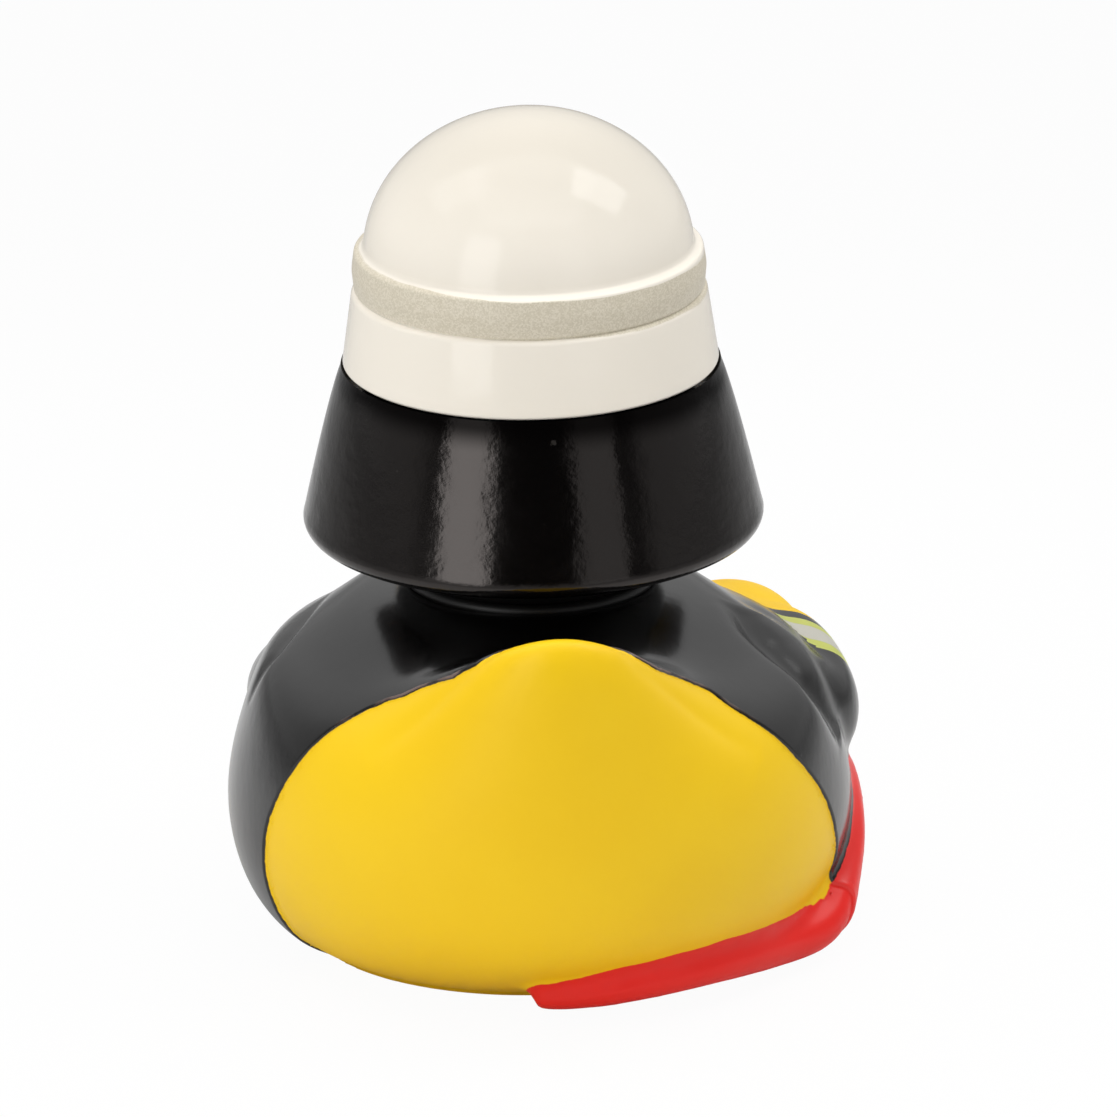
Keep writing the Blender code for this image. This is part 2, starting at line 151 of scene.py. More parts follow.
# How finely the forms are made.
SKIN_VOXEL = 0.00056
TORSO_LEVELS = 4
TUBE_SIDES = 12
TUBE_LEVELS = 3
ROPE_STEPS = 8
BALL_SEGMENTS = 128
BALL_RINGS = 64
HELMET_SIDES = 256
NECK_SIDES = 128
NOZZLE_SIDES = 96
GUARD_STEPS = 160
GUARD_CAP_STEPS = 6

# Where the skin is evened out: near a seam of two forms, and on the saddle under the neck.
SEAM_REACH = 0.0022
SEAM_ROUNDS = 45
SADDLE_HEIGHT = 0.0365
SADDLE_HEIGHT_FADE = 0.0030
SADDLE_RADIUS = 0.0275
SADDLE_RADIUS_FADE = 0.0040
SADDLE_ROUNDS = 150
SADDLE_VOXEL = 0.0008

# The jacket's hem: its step, how far from it the faces are finer, and where it stops low down.
HEM_STEP = 0.00038
HEM_STEP_START = 0.00030
HEM_STEP_WIDTH = 0.00042
HEM_REFINED = 0.0009
HEM_WAVER = 0.00013
HEM_EVENED_FROM = 0.0005
HEM_STEP_FROM = 0.0003

# How far the paint of the arms reaches past them, and that of the hose at lengths along it.
ARM_PAINT_SPREAD = 0.0005
HOSE_PAINT_LENGTHS = (0.000, 0.008, 0.032, 0.040)
HOSE_PAINT_SPREAD = (0.0005, 0.0012, 0.0012, 0.0003)

# How far back the jacket's hem lies at each height, in millimetres, on the duck's two sides.
HEM_LEFT = ((0, 3, 6, 10, 16, 21, 26, 30, 34, 38, 42),
            (8.0, 10.4, 12.6, 14.2, 15.8, 16.9, 18.6, 20.2, 21.8, 24.0, 26.0))
HEM_TAIL = ((0, 7, 9, 11.4, 14.7, 18.2, 21), (31.5, 33.0, 33.2, 31.5, 27.6, 24.8, 23.5))
HEM_RIGHT = ((0, 7, 10, 13, 17, 22.5, 28.5, 33.5, 39),
             (12.4, 11.6, 11.8, 13.2, 16.1, 19.0, 22.3, 24.3, 26.0))

# Over what width and height the sides and the tail's part of the hem pass into each other.
HEM_SIDE_BLEND = 0.016
TAIL_HEM_HEIGHT = 36.5
TAIL_HEM_BLEND = 2.5
HEM_SLANT = 0.93

# Creases pressed into the vinyl: places, depth and half width, in millimetres, and sharpness.
CREASES = (
    # The hollow between the back and the right upper arm.
    (((-24.5, 0.0, 38.0), (-26.4, 4.4, 37.0), (-28.8, 6.4, 35.6), (-31.8, 8.2, 32.6),
      (-34.2, 7.2, 28.8), (-35.6, 6.4, 25.0)), 1.9, 3.0, 2.0),
    # Between the back and the left shoulder.
    (((22.1, -12.2, 36.5), (23.9, -9.2, 36.4), (26.9, -4.2, 36.1), (29.4, -0.6, 34.8),
      (30.9, -0.3, 32.9), (31.8, -0.1, 30.8), (32.4, 0.2, 28.5)), 0.8, 0.9, 1.2),
    # Down both flanks of the tail.
    (((6.0, 33.8, 47.2), (8.4, 33.8, 45.7), (10.6, 33.0, 43.5), (12.5, 31.9, 41.4),
      (15.3, 30.4, 38.0), (18.1, 28.9, 35.1), (20.6, 27.5, 32.2)), 0.8, 1.6, 1.0),
    (((-7.0, 35.0, 47.2), (-9.2, 34.7, 44.7), (-11.1, 33.3, 42.9), (-14.0, 31.5, 39.9),
      (-17.3, 29.8, 36.5), (-20.0, 28.7, 34.0), (-23.4, 27.0, 30.8)), 0.8, 1.6, 1.0),
)


# Mesh helpers.

def new_object(name, data):
    thing = bpy.data.objects.new(name, data)
    bpy.context.scene.collection.objects.link(thing)
    return thing


def mesh_object(name, points, faces):
    data = bpy.data.meshes.new(name)
    data.from_pydata([tuple(point) for point in points], [], faces)
    shape = bmesh.new()
    shape.from_mesh(data)
    bmesh.ops.recalc_face_normals(shape, faces=shape.faces)
    shape.to_mesh(data)
    shape.free()
    return new_object(name, data)


def smooth(thing):
    thing.data.shade_smooth()
    return thing


def bake_modifiers(thing):
    """Replace an object's mesh by what its modifiers make of it."""
    graph = bpy.context.evaluated_depsgraph_get()
    graph.update()
    data = bpy.data.meshes.new_from_object(thing.evaluated_get(graph))
    thing.modifiers.clear()
    thing.data = data
    return thing


def subdivide(thing, levels):
    modifier = thing.modifiers.new("smooth", "SUBSURF")
    modifier.levels = levels
    modifier.render_levels = levels
    return bake_modifiers(thing)


def cut(thing, other):
    """Take another object's shape out of an object."""
    modifier = thing.modifiers.new("cut", "BOOLEAN")
    modifier.operation = "DIFFERENCE"
    modifier.solver = "EXACT"
    modifier.object = other
    return bake_modifiers(thing)


def remove(*things):
    for thing in things:
        bpy.data.objects.remove(thing, do_unlink=True)


def turned(name, profile, steps, closed=False):
    """Turn radius and height pairs round Z."""
    points = []
    faces = []
    rings = []
    for radius, height in profile:
        if radius < 1e-7:
            rings.append([len(points)])
            points.append((0.0, 0.0, height))
            continue
        ring = []
        for step in range(steps):
            angle = math.tau * step / steps
            ring.append(len(points))
            points.append((radius * math.cos(angle), radius * math.sin(angle), height))
        rings.append(ring)
    following = rings[1:] + rings[:1] if closed else rings[1:]
    for low, high in zip(rings, following):
        for step in range(steps):
            after = (step + 1) % steps
            if len(low) == 1:
                faces.append((low[0], high[step], high[after]))
            elif len(high) == 1:
                faces.append((low[step], low[after], high[0]))
            else:
                faces.append((low[step], low[after], high[after], high[step]))
    return mesh_object(name, points, faces)


def arc(centre_radius, centre_height, radius, start, end, count):
    """Radius and height pairs along an arc between two angles in degrees."""
    points = []
    for index in range(count + 1):
        angle = math.radians(start + (end - start) * index / count)
        points.append((centre_radius + radius * math.cos(angle),
                       centre_height + radius * math.sin(angle)))
    return points


def rounded(profile, radius, count=4):
    """Round the corners of an open profile of radius and height pairs."""
    result = [profile[0]]
    for index in range(1, len(profile) - 1):
        before = Vector(profile[index - 1])
        here = Vector(profile[index])
        after = Vector(profile[index + 1])
        reach = min(radius, (before - here).length * 0.45, (after - here).length * 0.45)
        first = here + (before - here).normalized() * reach
        last = here + (after - here).normalized() * reach
        for step in range(count + 1):
            share = step / count
            point = (first * (1 - share) ** 2 + here * 2 * share * (1 - share)
                     + last * share ** 2)
            result.append((point.x, point.y))
    result.append(profile[-1])
    return result


# Forms of the body.

def blend_ring(side, rear, front, angle, is_tail):
    """Radius and height of a row of the torso's cage at an angle from the tail."""
    turn = math.radians(angle)
    along = math.cos(turn)
    across = math.sin(turn)
    end = rear if along > 0.0 else front
    radius = 1.0 / math.sqrt((along / end[0]) ** 2 + (across / side[0]) ** 2)
    if is_tail and along > 0.0:
        share = math.exp(-(angle / TAIL_SPREAD) ** 2)
        plain = side[0] * TAIL_ROUND
        oval = 1.0 / math.sqrt((along / plain) ** 2 + (across / side[0]) ** 2)
        radius = oval + (end[0] - plain) * share
    else:
        share = along * along
    height = side[1] + (end[1] - side[1]) * share
    return radius, height


def torso():
    """The trunk with its tail, from rows of a coarse cage."""
    angles = list(COLUMN_ANGLES) + [-angle for angle in reversed(COLUMN_ANGLES[1:-1])]
    points = []
    for row, (side, rear, front) in enumerate(TORSO_ROWS):
        for angle in angles:
            radius, height = blend_ring(side, rear, front, abs(angle), row in TAIL_ROWS)
            turn = math.radians(angle)
            across = radius * math.sin(turn)
            if across < 0.0 and row in SWOLLEN_ROWS:
                across *= RIGHT_SWELL
            points.append((across, radius * math.cos(turn), height))
    count = len(angles)
    faces = [tuple(range(count))]
    for row in range(len(TORSO_ROWS) - 1):
        for column in range(count):
            after = (column + 1) % count
            low = row * count
            high = low + count
            faces.append((low + column, low + after, high + after, high + column))
    top = (len(TORSO_ROWS) - 1) * count
    faces.append(tuple(top + column for column in range(count)))
    return subdivide(mesh_object("torso_form", points, faces), TORSO_LEVELS)


def tube(name, stations):
    """A smooth limb through stations of a place and a radius, with round ends."""
    centres = [Vector(point) for point, radius in stations]
    radii = [radius for point, radius in stations]
    first = centres[0] - (centres[1] - centres[0]).normalized() * radii[0] * 0.75
    last = centres[-1] + (centres[-1] - centres[-2]).normalized() * radii[-1] * 0.75
    centres = [first] + centres + [last]
    radii = [radii[0] * 0.55] + radii + [radii[-1] * 0.55]
    swell = 3.0 / (2.0 + math.cos(math.tau / TUBE_SIDES))
    points = []
    for index, (centre, radius) in enumerate(zip(centres, radii)):
        before = centres[max(index - 1, 0)]
        after = centres[min(index + 1, len(centres) - 1)]
        forward = (after - before).normalized()
        sideways = forward.cross(Vector((0.0, 0.2, 1.0))).normalized()
        upward = sideways.cross(forward).normalized()
        for step in range(TUBE_SIDES):
            angle = math.tau * step / TUBE_SIDES
            points.append(centre + sideways * radius * swell * math.cos(angle)
                          + upward * radius * swell * math.sin(angle))
    faces = [tuple(range(TUBE_SIDES))]
    for ring in range(len(centres) - 1):
        for step in range(TUBE_SIDES):
            after = (step + 1) % TUBE_SIDES
            low = ring * TUBE_SIDES
            high = low + TUBE_SIDES
            faces.append((low + step, low + after, high + after, high + step))
    top = (len(centres) - 1) * TUBE_SIDES
    faces.append(tuple(top + step for step in range(TUBE_SIDES)))
    return subdivide(mesh_object(name, points, faces), TUBE_LEVELS)


def join_meshes(name, things):
    shape = bmesh.new()
    for thing in things:
        shape.from_mesh(thing.data)
    data = bpy.data.meshes.new(name)
    shape.to_mesh(data)
    shape.free()
    return new_object(name, data)


def get_points(data):
    flat = np.empty(len(data.vertices) * 3)
    data.vertices.foreach_get("co", flat)
    return flat.reshape(-1, 3)


def set_points(data, points):
    data.vertices.foreach_set("co", np.ascontiguousarray(points).ravel())
    data.update()


def get_normals(data):
    flat = np.empty(len(data.vertices) * 3)
    data.vertices.foreach_get("normal", flat)
    return flat.reshape(-1, 3)


def relax(data, weight, rounds):
    """Even out the points, each as far as its weight says, shrinking little."""
    edges = np.empty(len(data.edges) * 2, dtype=np.int64)
    data.edges.foreach_get("vertices", edges)
    edges = edges.reshape(-1, 2)
    points = get_points(data)
    count = np.zeros(len(points))
    np.add.at(count, edges[:, 0], 1)
    np.add.at(count, edges[:, 1], 1)
    count = np.maximum(count, 1)[:, None]
    weight = np.asarray(weight)[:, None]
    for turn in range(rounds):
        for factor in (0.55, -0.35):
            total = np.zeros_like(points)
            for axis in range(3):
                total[:, axis] = (
                    np.bincount(edges[:, 0], points[edges[:, 1], axis], len(points))
                    + np.bincount(edges[:, 1], points[edges[:, 0], axis], len(points)))
            points = points + (total / count - points) * factor * weight
    set_points(data, points)


def distances(points, thing):
    """How far each point is from an object's surface."""
    tree = BVHTree.FromPolygons([v.co for v in thing.data.vertices],
                                [tuple(p.vertices) for p in thing.data.polygons])
    return np.array([tree.find_nearest(Vector(p))[3] for p in points])


def line_field(points, stations, open_start=True):
    """Length along a chain of stations, and the distance from it, in metres."""
    chain = [Vector(point) for point, radius in stations]
    best = np.full(len(points), 1e9)
    along = np.zeros(len(points))
    done = 0.0
    for index, (start, end) in enumerate(zip(chain, chain[1:])):
        step = np.array(end - start)
        length = float(np.linalg.norm(step))
        share = (points - np.array(start)) @ step / length ** 2
        low = -1e9 if index == 0 and open_start else 0.0
        clipped = np.clip(share, low, 1.0)
        gap = np.linalg.norm(points - (np.array(start) + clipped[:, None] * step), axis=1)
        nearer = gap < best
        best[nearer] = gap[nearer]
        along[nearer] = done + clipped[nearer] * length
        done += length
    return along, best


def carve(data, path, depth, width, sharpness):
    """Press a crease into a surface along a path, fading out at both ends."""
    points = get_points(data)
    stations = [(Vector(place) * MM, 0.0) for place in path]
    along, gap = line_field(points, stations, False)
    share = np.clip(along / widths_along(stations)[0][-1], 0.0, 1.0)
    sink = np.sin(math.pi * share) ** 0.6 * np.exp(-(gap / MM / width) ** sharpness)
    set_points(data, points - get_normals(data) * (sink * depth * MM)[:, None])
    relax(data, np.clip(sink * 2.0, 0.0, 0.8), 5)


def refine(data, chosen):
    """Split the edges between the chosen points, and their faces."""
    shape = bmesh.new()
    shape.from_mesh(data)
    shape.verts.ensure_lookup_table()
    edges = [edge for edge in shape.edges
             if chosen[edge.verts[0].index] and chosen[edge.verts[1].index]]
    bmesh.ops.subdivide_edges(shape, edges=edges, cuts=1, use_grid_fill=True)
    shape.to_mesh(data)
    shape.free()


def wobble(points, scale, seed):
    """Slow hand painted waver, from -1 to 1."""
    offset = Vector((seed * 7.3, seed * 3.1, seed * 5.7))
    return np.array([noise.noise(Vector(p) * scale + offset) for p in points])


def set_field(data, name, values):
    field = data.attributes.new(name, "FLOAT", "POINT")
    field.data.foreach_set("value", np.asarray(values, dtype=np.float32))


def hem_line(points):
    """How far a point is on the rump's side of the jacket's hem, in metres."""
    height = points[:, 2] / MM
    left = np.interp(height, HEM_LEFT[0], HEM_LEFT[1])
    right = np.interp(height, HEM_RIGHT[0], HEM_RIGHT[1])
    share = np.clip(0.5 + points[:, 0] / HEM_SIDE_BLEND, 0.0, 1.0)
    share = share * share * (3.0 - 2.0 * share)
    edge = right + (left - right) * share
    tail = np.interp(np.abs(points[:, 0]) / MM, HEM_TAIL[0], HEM_TAIL[1])
    high = np.clip((height - TAIL_HEM_HEIGHT) / TAIL_HEM_BLEND, 0.0, 1.0)
    return (points[:, 1] - (edge + (tail - edge) * high) * MM) * HEM_SLANT


def widths_along(stations):
    """Lengths along a chain of stations, and the second value of each."""
    lengths = [0.0]
    places = [Vector(point) for point, width in stations]
    for start, end in zip(places, places[1:]):
        lengths.append(lengths[-1] + (end - start).length)
    return lengths, [width for point, width in stations]


def arm_fields(data, points, name, stations):
    """Store the length along an arm, and how far inside its painted skin each point is."""
    along, gap = line_field(points, stations)
    reach = np.interp(along, *widths_along(stations))
    set_field(data, name, along / MM)
    set_field(data, name + "_inside", (reach + ARM_PAINT_SPREAD - gap) / MM)


def base_block():
    """A block under the plane that the duck stands on."""
    corners = ((-1, -1), (1, -1), (1, 1), (-1, 1))
    faces = [(0, 1, 2, 3), (4, 5, 6, 7), (0, 1, 5, 4), (1, 2, 6, 5), (2, 3, 7, 6), (3, 0, 4, 7)]
    return mesh_object("cut", [(x * 0.08, y * 0.08, z) for z in (-0.02, 0.0)
                               for x, y in corners], faces)


def body_skin():
    """One skin over trunk, arms, hands and hose, with creases, base and the hem's step."""
    trunk = torso()
    sleeves = [tube("right_sleeve_form", RIGHT_SLEEVE), tube("left_sleeve_form", LEFT_SLEEVE)]
    hands = [tube("right_hand_form", RIGHT_HAND), tube("left_hand_form", LEFT_HAND)]
    hose = rope("hose_form", HOSE_PATH, HOSE_RADIUS)
    skin = join_meshes("duck_body", [trunk, hose] + sleeves + hands)
    modifier = skin.modifiers.new("skin", "REMESH")
    modifier.mode = "VOXEL"
    modifier.voxel_size = SKIN_VOXEL
    bake_modifiers(skin)
    points = get_points(skin.data)
    to_trunk = distances(points, trunk)
    arms = join_meshes("arms_form", sleeves + hands)
    to_arms = distances(points, arms)
    to_hose = distances(points, hose)
    to_seam = np.maximum(to_trunk, np.minimum(to_arms, to_hose))
    relax(skin.data, np.full(len(points), 0.8), 3)
    relax(skin.data, np.clip(1.0 - to_seam / SEAM_REACH, 0.0, 1.0), SEAM_ROUNDS)
    points = get_points(skin.data)
    saddle = np.clip((points[:, 2] - SADDLE_HEIGHT) / SADDLE_HEIGHT_FADE, 0.0, 1.0)
    inward = SADDLE_RADIUS - np.hypot(points[:, 0], points[:, 1])
    saddle *= np.clip(inward / SADDLE_RADIUS_FADE, 0.0, 1.0)
    relax(skin.data, saddle * 0.9, int(SADDLE_ROUNDS * (SADDLE_VOXEL / SKIN_VOXEL) ** 2))
    for crease in CREASES:
        carve(skin.data, *crease)
    # Cut the flat base and the hole for the squeaker.
    block = base_block()
    cut(skin, block)
    hole = turned("hole", ((0.0, -0.005), (BASE_HOLE_RADIUS, -0.005),
                           (BASE_HOLE_RADIUS, BASE_HOLE_DEPTH), (0.0, BASE_HOLE_DEPTH)),
                  NOZZLE_SIDES)
    cut(skin, hole)
    # Make the faces along the hem finer.
    for turn in range(2):
        refine(skin.data, np.abs(hem_line(get_points(skin.data))) < HEM_REFINED)
        points = get_points(skin.data)
        near = np.abs(hem_line(points)) < HEM_REFINED * 0.8
        relax(skin.data, near * (points[:, 2] > HEM_EVENED_FROM) * 0.7, 3)
    points = get_points(skin.data)
    hem = hem_line(points) + wobble(points, 90.0, 1) * HEM_WAVER
    pipe, pipe_gap = line_field(points, HOSE_PATH, False)
    reach = np.interp(pipe, *widths_along(HOSE_PATH)) * HOSE_RADIUS
    spread = np.interp(pipe, HOSE_PAINT_LENGTHS, HOSE_PAINT_SPREAD)
    pipe = reach + spread - pipe_gap
    # The bare rump lies a little deeper than the painted jacket.
    depth = np.clip((hem + HEM_STEP_START) / HEM_STEP_WIDTH, 0.0, 1.0)
    depth = depth * depth * (1.6 - 0.6 * depth)
    depth[points[:, 2] < HEM_STEP_FROM] = 0.0
    set_points(skin.data, points - get_normals(skin.data) * (depth * HEM_STEP)[:, None])
    set_field(skin.data, "hem", hem / MM)
    arm_fields(skin.data, points, "right_arm", RIGHT_SLEEVE + RIGHT_HAND[1:])
    arm_fields(skin.data, points, "left_arm", LEFT_SLEEVE + LEFT_HAND[1:])
    set_field(skin.data, "waver", wobble(points, 160.0, 4))
    set_field(skin.data, "hose", pipe / MM)
    remove(trunk, arms, hose, block, hole, *sleeves, *hands)
    return smooth(skin)


def helmet_shell():
    """Dome, proud band and lower shell in one turned shape."""
    crown = [(DOME_RADIUS * math.sin(math.radians(angle)),
              DOME_CENTRE + DOME_HEIGHT * math.cos(math.radians(angle)))
             for angle in np.linspace(0.0, 86.0, 48)]
    lower = [
        crown[-1],
        (BAND_RADIUS - 0.0009, BAND_TOP),
        (BAND_RADIUS - 0.0003, BAND_TOP - 0.0002),
        (BAND_RADIUS, (BAND_TOP + BAND_BOTTOM) / 2),
        (BAND_RADIUS - 0.0002, BAND_BOTTOM + 0.0002),
        (BAND_RADIUS - 0.0005, BAND_BOTTOM),
        (BAND_RADIUS + 0.0001, BAND_BOTTOM - 0.0004),
        (SHELL_EDGE_RADIUS, SHELL_EDGE_HEIGHT + 0.0001),
        (SHELL_EDGE_RADIUS - 0.0003, SHELL_EDGE_HEIGHT - 0.0002),
        (SHELL_EDGE_RADIUS - 0.0020, SHELL_EDGE_HEIGHT - 0.0002),
    ]
    profile = crown[:-1] + rounded(lower, 0.0004, 5) + [(0.0, SHELL_EDGE_HEIGHT - 0.0002)]
    return smooth(turned("helmet_shell", profile, HELMET_SIDES))


def guard_radius(height):
    """Outer radius of the neck guard at a height."""
    top = SHELL_EDGE_HEIGHT - 0.0006
    drop = min(max((top - height) / (top - GUARD_RIM_CENTRE), 0.0), 1.0)
    start = SHELL_EDGE_RADIUS + 0.0002
    return start + (GUARD_RADIUS - start) * drop ** 0.85


def neck_guard():
    """Guard round the back of the head, with a rolled lower rim and rounded front edges."""
    top = SHELL_EDGE_HEIGHT - 0.0002
    outer = []
    for step in range(24):
        height = top + (GUARD_RIM_CENTRE - top) * step / 24
        outer.append((guard_radius(height), height))
    outer += arc(GUARD_RADIUS - GUARD_RIM_ROUND, GUARD_RIM_CENTRE, GUARD_RIM_ROUND, 4, -90, 8)
    inner = [(HEAD_RADIUS - 0.0022, GUARD_RIM_CENTRE - GUARD_RIM_ROUND + 0.0012)]
    for step in range(1, 12):
        height = inner[0][1] + (top - inner[0][1]) * step / 12
        inner.append((min(guard_radius(height) - GUARD_THICK, HEAD_RADIUS - 0.001), height))
    section = outer + inner
    # Each turn has its share of the way round, the section's size and how far it stands out.
    cap = []
    for step in range(GUARD_CAP_STEPS):
        share = step / GUARD_CAP_STEPS
        cap.append((math.sqrt(1 - (1 - share) ** 2), 1 - share))
    turns = [(-1.0, size, out) for size, out in cap]
    for step in range(GUARD_STEPS + 1):
        turns.append((-1.0 + 2.0 * step / GUARD_STEPS, 1.0, 0.0))
    turns += [(1.0, size, out) for size, out in reversed(cap)]
    points = []
    rings = []
    for turn, size, out in turns:
        ring = []
        for radius, height in section:
            bend = GUARD_EDGE_ROUND / radius
            limit = math.pi / 2 + math.asin(min(-GUARD_FRONT / radius, 1.0)) - bend
            mid_radius = guard_radius(height) - GUARD_THICK / 2
            rim_drop = max(GUARD_RIM_CENTRE - height, 0.0)
            shrink = 1 - (1 - size) * GUARD_EDGE_ROUND / (GUARD_THICK / 2)
            near = mid_radius + (radius - mid_radius) * shrink
            lift = height + rim_drop * (1 - size) * 0.5
            angle = turn * limit + (out * GUARD_EDGE_ROUND / radius) * (1 if turn > 0 else -1)
            ring.append(len(points))
            points.append((near * math.sin(angle), near * math.cos(angle), lift))
        rings.append(ring)
    faces = []
    size = len(section)
    for low, high in zip(rings, rings[1:]):
        for step in range(size):
            after = (step + 1) % size
            faces.append((low[step], low[after], high[after], high[step]))
    faces.append(tuple(rings[0]))
    faces.append(tuple(reversed(rings[-1])))
    thing = mesh_object("neck_guard", points, faces)
    smooth(thing)
    thing.data.set_sharp_from_angle(angle=math.radians(50))
    return thing


def helmet_peak():
    peak = ball("helmet_peak", Vector((0.0, -0.0060, SHELL_EDGE_HEIGHT + 0.0012)),
                (SHELL_EDGE_RADIUS - 0.0012, PEAK_REACH - 0.0060, PEAK_THICK))
    peak.data.transform(Matrix.Translation(PEAK_HINGE)
                        @ Matrix.Rotation(math.radians(PEAK_DROOP), 4, "X")
                        @ Matrix.Translation(-PEAK_HINGE))
    return peak


def ball(name, centre, radii):
    data = bpy.data.meshes.new(name)
    shape = bmesh.new()
    size = Matrix.Diagonal((radii[0], radii[1], radii[2], 1.0))
    bmesh.ops.create_uvsphere(shape, u_segments=BALL_SEGMENTS, v_segments=BALL_RINGS, radius=1.0,
                              matrix=Matrix.Translation(centre) @ size)
    shape.to_mesh(data)
    shape.free()
    return smooth(new_object(name, data))


def bill_half(name, height, half_width, tip, thick, lift):
    """Upper or lower half of the bill, broad and flat, with its tip lifted."""
    data = bpy.data.meshes.new(name)
    shape = bmesh.new()
    bmesh.ops.create_uvsphere(shape, u_segments=96, v_segments=64, radius=1.0)
    root = HEAD_CENTRE.y - HEAD_RADIUS * 0.55
    for vert in shape.verts:
        forward = (1.0 - vert.co.y) / 2
        width = half_width * (0.86 + 0.14 * math.sin(math.pi * forward))
        swell = thick * (1.35 - 0.55 * forward)
        vert.co = (vert.co.x * width, root + (tip - root) * forward,
                   height + vert.co.z * swell + lift * max(forward - 0.35, 0.0) ** 2)
    bmesh.ops.recalc_face_normals(shape, faces=shape.faces)
    shape.to_mesh(data)
    shape.free()
    return smooth(new_object(name, data))


def rope(name, stations, radius):
    """A round cord through stations of a place and a share of the radius, with a round end."""
    data = bpy.data.curves.new(name, "CURVE")
    data.dimensions = "3D"
    data.bevel_depth = radius
    data.bevel_resolution = ROPE_STEPS
    data.resolution_u = ROPE_STEPS
    data.use_fill_caps = True
    start = Vector(stations[0][0])
    first = stations[0][1]
    out = (start - Vector(stations[1][0])).normalized() * radius * first
    ends = [(start + out * reach, first * size)
            for reach, size in ((0.98, 0.20), (0.90, 0.55), (0.65, 0.85))]
    line = data.splines.new("NURBS")
    line.points.add(len(ends) + len(stations) - 1)
    for index, (point, share) in enumerate(ends + list(stations)):
        line.points[index].co = (point[0], point[1], point[2], 1.0)
        line.points[index].radius = share
    line.order_u = 4
    line.use_endpoint_u = True
    curve = new_object(name + "_line", data)
    graph = bpy.context.evaluated_depsgraph_get()
    graph.update()
    mesh = bpy.data.meshes.new_from_object(curve.evaluated_get(graph))
    shape = bmesh.new()
    shape.from_mesh(mesh)
    bmesh.ops.remove_doubles(shape, verts=shape.verts, dist=0.00001)
    bmesh.ops.recalc_face_normals(shape, faces=shape.faces)
    shape.to_mesh(mesh)
    shape.free()
    thing = new_object(name, mesh)
    bpy.data.objects.remove(curve, do_unlink=True)
    return thing


def nozzle_form():
    """Turned nozzle with a collar, a flared end and an open mouth."""
    profile = [
        (0.0, NOZZLE_LENGTH - NOZZLE_MOUTH_DEPTH),
        (NOZZLE_MOUTH_RADIUS, NOZZLE_LENGTH - NOZZLE_MOUTH_DEPTH),
        (NOZZLE_MOUTH_RADIUS, NOZZLE_LENGTH),
        (HOSE_RADIUS + 0.0006, NOZZLE_LENGTH),
        (HOSE_RADIUS + 0.0008, NOZZLE_LENGTH - 0.0018), (HOSE_RADIUS, NOZZLE_LENGTH - 0.0030),
        (HOSE_RADIUS + 0.0003, 0.0055), (NOZZLE_RADIUS, 0.0040), (NOZZLE_RADIUS, 0.0006),
        (HOSE_RADIUS + 0.0004, -0.0010), (0.0, -0.0010)]
    thing = smooth(turned("nozzle", rounded(profile, 0.0004, 4), NOZZLE_SIDES))
    thing.data.set_sharp_from_angle(angle=math.radians(50))
    thing.matrix_world = (Matrix.Translation(NOZZLE_PLACE)
                          @ Matrix.Rotation(math.radians(NOZZLE_TILT), 4, "X"))
    return thing


# Material helpers.

class Nodes:
    """Adds nodes to a node tree."""

    def __init__(self, tree):
        self.tree = tree

    def put(self, socket, value):
        if isinstance(value, bpy.types.NodeSocket):
            self.tree.links.new(value, socket)
        else:
            socket.default_value = value

    def math(self, kind, *values):
        node = self.tree.nodes.new("ShaderNodeMath")
        node.operation = kind
        for index, value in enumerate(values):
            self.put(node.inputs[index], value)
        return node.outputs[0]

    def step(self, value, low, high, start=0.0, end=1.0):
        node = self.tree.nodes.new("ShaderNodeMapRange")
        node.interpolation_type = "SMOOTHSTEP"
        self.put(node.inputs["Value"], value)
        node.inputs["From Min"].default_value = low
        node.inputs["From Max"].default_value = high
        node.inputs["To Min"].default_value = start
        node.inputs["To Max"].default_value = end
        return node.outputs[0]

    def mix(self, share, first, second):
        node = self.tree.nodes.new("ShaderNodeMix")
        node.data_type = "RGBA"
        self.put(node.inputs[0], share)
        self.put(node.inputs[6], first)
        self.put(node.inputs[7], second)
        return node.outputs[2]

    def blend(self, share, first, second):
        node = self.tree.nodes.new("ShaderNodeMix")
        node.data_type = "FLOAT"
        self.put(node.inputs[0], share)
        self.put(node.inputs[2], first)
        self.put(node.inputs[3], second)
        return node.outputs[0]


class Paint(Nodes):
    """A node material with one Principled shader."""

    def __init__(self, name):
        self.look = bpy.data.materials.new(name)
        self.look.use_nodes = True
        super().__init__(self.look.node_tree)
        self.shader = self.tree.nodes["Principled BSDF"]
        self.place = self.tree.nodes.new("ShaderNodeTexCoord").outputs["Object"]

    def noise(self, scale, detail=2.0, roughness=0.5):
        node = self.tree.nodes.new("ShaderNodeTexNoise")
        self.put(node.inputs["Vector"], self.place)
        node.inputs["Scale"].default_value = scale
        node.inputs["Detail"].default_value = detail
        node.inputs["Roughness"].default_value = roughness
        return node.outputs["Fac"]

    def cells(self, scale):
        node = self.tree.nodes.new("ShaderNodeTexVoronoi")
        self.put(node.inputs["Vector"], self.place)
        node.inputs["Scale"].default_value = scale
        return node.outputs["Color"]

    def field(self, name):
        node = self.tree.nodes.new("ShaderNodeAttribute")
        node.attribute_name = name
        return node.outputs["Fac"]

    def axes(self):
        node = self.tree.nodes.new("ShaderNodeSeparateXYZ")
        self.put(node.inputs[0], self.place)
        return node.outputs

    def colour(self, value):
        self.put(self.shader.inputs["Base Color"], value)

    def rough(self, value):
        self.put(self.shader.inputs["Roughness"], value)

    def bump(self, height, distance, strength):
        node = self.tree.nodes.new("ShaderNodeBump")
        node.inputs["Strength"].default_value = strength
        node.inputs["Distance"].default_value = distance
        self.put(node.inputs["Height"], height)
        self.put(self.shader.inputs["Normal"], node.outputs[0])


